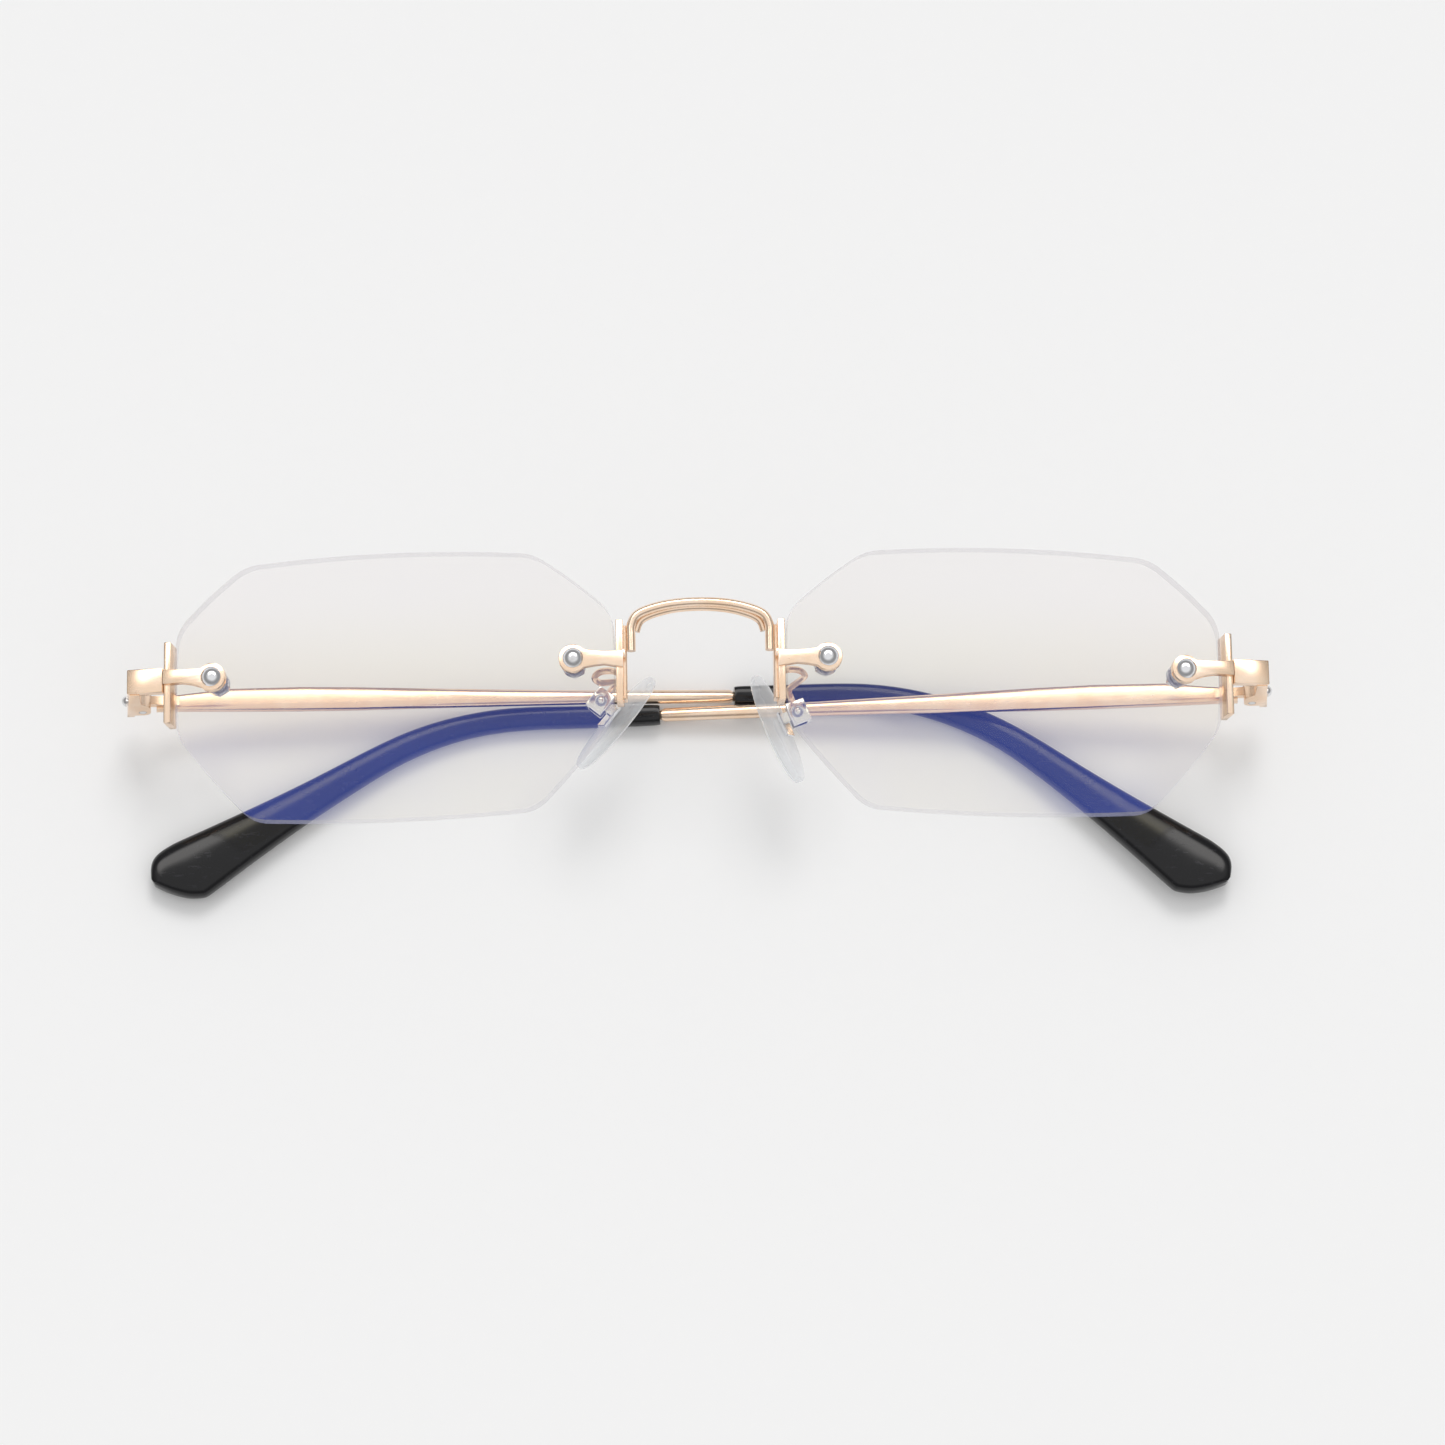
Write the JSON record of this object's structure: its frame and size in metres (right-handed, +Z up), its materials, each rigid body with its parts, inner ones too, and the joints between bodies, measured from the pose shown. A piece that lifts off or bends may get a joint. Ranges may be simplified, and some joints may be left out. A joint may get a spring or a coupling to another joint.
{
  "type": "eyeglasses",
  "caption": "Rimless eyeglasses with octagonal clear lenses bolted to a gold wire bridge and end pieces, rocking nose pads, and folding temples with black tips.",
  "frame": {"origin": "middle of the bounding box at table height, with the glasses folded and lying on their temples, lenses up", "axes": "+X to the right as seen from the front of the glasses, +Y towards the lenses' upper edges, +Z up, out of the lenses' front"},
  "size_m": [0.1424, 0.0398, 0.0231],
  "materials": {
    "champagne_gold": "polished champagne-gold plating",
    "polished_silver": "polished silver-coloured screws, nuts and pad fittings",
    "lens_plastic": "clear coated lens plastic with a faint lavender reflection",
    "clear_bushing": "clear plastic bushings and washers",
    "clear_silicone": "clear soft nose pad",
    "black_tip_plastic": "glossy black temple tip"
  },
  "bodies": {
    "front": {"bridge_front_wire": "champagne_gold", "bridge_rear_wire": "champagne_gold", "right_lens": "lens_plastic", "right_nasal_mount": "champagne_gold", "right_nasal_screw": "polished_silver", "right_nasal_sleeve": "clear_bushing", "right_nasal_washer": "clear_bushing", "right_nasal_nut": "polished_silver", "right_temporal_mount": "champagne_gold", "right_temporal_screw": "polished_silver", "right_temporal_sleeve": "clear_bushing", "right_temporal_washer": "clear_bushing", "right_temporal_nut": "polished_silver", "right_pad_arm": "champagne_gold", "right_pad_box": "polished_silver", "right_pad_screw": "polished_silver", "right_end_piece": "champagne_gold", "right_side_rivet": "polished_silver", "right_hinge_screw": "polished_silver", "left_lens": "lens_plastic", "left_nasal_mount": "champagne_gold", "left_nasal_screw": "polished_silver", "left_nasal_sleeve": "clear_bushing", "left_nasal_washer": "clear_bushing", "left_nasal_nut": "polished_silver", "left_temporal_mount": "champagne_gold", "left_temporal_screw": "polished_silver", "left_temporal_sleeve": "clear_bushing", "left_temporal_washer": "clear_bushing", "left_temporal_nut": "polished_silver", "left_pad_arm": "champagne_gold", "left_pad_box": "polished_silver", "left_pad_screw": "polished_silver", "left_end_piece": "champagne_gold", "left_side_rivet": "polished_silver", "left_hinge_screw": "polished_silver"},
    "right_temple_body": {"right_temple": "champagne_gold", "right_temple_tip": "black_tip_plastic"},
    "right_pad_body": {"right_pad_insert": "polished_silver", "right_nose_pad": "clear_silicone"},
    "left_temple_body": {"left_temple": "champagne_gold", "left_temple_tip": "black_tip_plastic"},
    "left_pad_body": {"left_pad_insert": "polished_silver", "left_nose_pad": "clear_silicone"}
  },
  "joints": [
    {"name": "right_temple_hinge", "type": "hinge", "parent": "front", "child": "right_temple_body", "pos_m": [0.06859, 0.00453, 0.00797], "axis": [0.011, -0.9983, 0.0576], "range_deg": [0, 90.3]},
    {"name": "left_temple_hinge", "type": "hinge", "parent": "front", "child": "left_temple_body", "pos_m": [-0.06859, 0.00455, 0.0075], "axis": [-0.0206, 0.9981, -0.0576], "range_deg": [0, 90.3]},
    {"name": "right_pad_pivot", "type": "hinge", "parent": "front", "child": "right_pad_body", "pos_m": [0.01198, 0.00058, 0.01316], "axis": [-0.0035, -0.0297, 0.9996], "range_deg": [-10, 10]},
    {"name": "left_pad_pivot", "type": "hinge", "parent": "front", "child": "left_pad_body", "pos_m": [-0.01212, 0.00218, 0.01312], "axis": [-0.0035, -0.0297, 0.9996], "range_deg": [-10, 10]}
  ]
}
